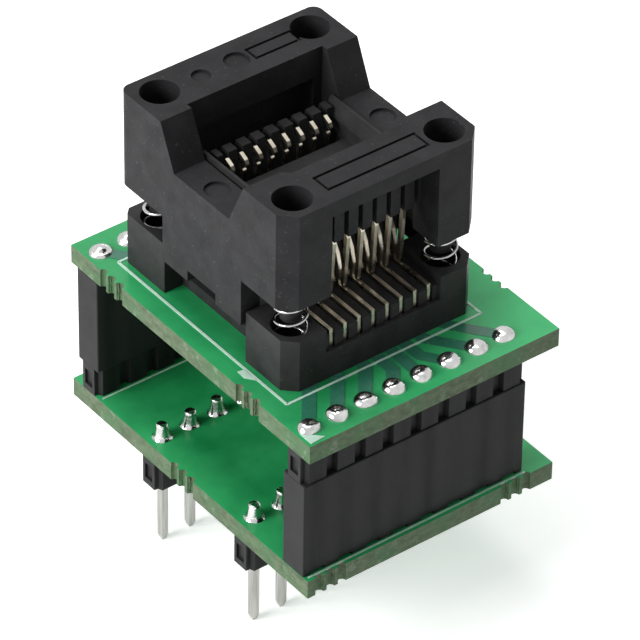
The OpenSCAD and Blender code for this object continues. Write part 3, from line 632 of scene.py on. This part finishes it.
def makeNubs():
    # Torn laminate in the notched places of both boards' edges.
    rng = np.random.default_rng(31)
    grids = []
    for places, alongX, low in ((breakOff["upperSides"], False, place["upperZ"]),
                                (breakOff["lowerSides"], False, place["lowerZ"]),
                                (breakOff["lowerFront"], True, place["lowerZ"])):
        for x, y in places:
            for step in (-0.5, 0.5):
                shift = step * breakOff["pitch"]
                centre = (x + shift, y) if alongX else (x, y + shift)
                outward = (0, -1) if alongX else (math.copysign(1, x), 0)
                grids.append(nubPoints(centre, outward, low, low + place["boardT"], rng))
    makeFlats("tornLaminate", grids, materials["board"])


makePrint()
makeTraces()
makeNubs()
print("print, tracks and torn edges made")

stageLook = {"floorSize": 4.0, "floorTone": (0.9, 0.9, 0.9), "lift": 0.5, "fill": 0.27}
lamps = [
    {"name": "keyLeft", "at": (-0.34, 0.06, 0.2), "size": 0.22, "power": 1.6},
    {"name": "topSoft", "at": (0.02, 0.16, 0.42), "size": 0.3, "power": 0.85},
    {"name": "frontFill", "at": (0.10, -0.4, 0.12), "size": 0.25, "power": 0.02},
]


def seenRays(tree):
    # One where a camera, glossy or transmission ray looks, otherwise zero.
    path = tree.nodes.new("ShaderNodeLightPath")
    value = path.outputs["Is Camera Ray"]
    for name in ("Is Glossy Ray", "Is Transmission Ray"):
        value = mathOf(tree, "MAXIMUM", value, path.outputs[name])
    return value


def makeStage():
    # White floor that keeps the shadow, and a pale even surround.
    half = stageLook["floorSize"] / 2
    mesh = bpy.data.meshes.new("floor")
    mesh.from_pydata([(-half, -half, 0), (half, -half, 0), (half, half, 0), (-half, half, 0)], [], [(0, 1, 2, 3)])
    floor = bpy.data.objects.new("floor", mesh)
    bpy.context.scene.collection.objects.link(floor)
    material, tree, shader, vector = startMaterial("floorPaper")
    paper = mixColour(tree, remap(tree, noiseOf(tree, vector, 0.02, 2), 0.3, 0.7, 0, 1),
                      stageLook["floorTone"], (0.92, 0.92, 0.92))
    tree.links.new(paper, shader.inputs["Base Color"])
    shader.inputs["Roughness"].default_value = 0.9
    shader.inputs["Specular IOR Level"].default_value = 0.1
    shader.inputs["Emission Color"].default_value = (1, 1, 1, 1)
    tree.links.new(remap(tree, seenRays(tree), 0, 1, 0, stageLook["lift"]), shader.inputs["Emission Strength"])
    mesh.materials.append(material)
    world = bpy.data.worlds.new("surround")
    bpy.context.scene.world = world
    world.use_nodes = True
    back = world.node_tree.nodes["Background"]
    back.inputs["Color"].default_value = (1, 1, 1, 1)
    strength = remap(world.node_tree, seenRays(world.node_tree), 0, 1, stageLook["fill"], 1)
    world.node_tree.links.new(strength, back.inputs["Strength"])


def makeLamps():
    # Soft square lamps that look at the middle of the object.
    for lamp in lamps:
        data = bpy.data.lights.new(lamp["name"], "AREA")
        data.size = lamp["size"]
        data.energy = lamp["power"]
        light = bpy.data.objects.new(lamp["name"], data)
        bpy.context.scene.collection.objects.link(light)
        light.location = lamp["at"]
        aim = np.array((0, 0, 0.02)) - np.array(lamp["at"])
        light.rotation_euler = (math.atan2(math.hypot(aim[0], aim[1]), -aim[2]), 0, math.atan2(-aim[0], aim[1]))


view = {"at": (-195.91, -252.12, 271.61), "azimuth": -37.948, "elevation": 38.306, "roll": 0.953, "lens": 310.46}


def makeCamera():
    # The photograph's camera, with its turn, tilt and roll.
    data = bpy.data.cameras.new("camera")
    data.lens = view["lens"]
    data.sensor_width = 36
    data.clip_start = 0.01
    data.clip_end = 20
    camera = bpy.data.objects.new("camera", data)
    bpy.context.scene.collection.objects.link(camera)
    turn, tilt, roll = (math.radians(view[key]) for key in ("azimuth", "elevation", "roll"))
    back = np.array((math.sin(turn) * math.cos(tilt), -math.cos(turn) * math.cos(tilt), math.sin(tilt)))
    level = np.array((math.cos(turn), math.sin(turn), 0))
    high = np.cross(back, level)
    right = level * math.cos(roll) + high * math.sin(roll)
    up = high * math.cos(roll) - level * math.sin(roll)
    matrix = np.eye(4)
    matrix[:3, 0], matrix[:3, 1], matrix[:3, 2] = right, up, back
    matrix[:3, 3] = np.array(view["at"]) * mm
    camera.matrix_world = Matrix(matrix.tolist())
    bpy.context.scene.camera = camera


makeStage()
makeLamps()
makeCamera()
bpy.context.scene.view_settings.view_transform = "Standard"
print("stage, lamps and camera made")
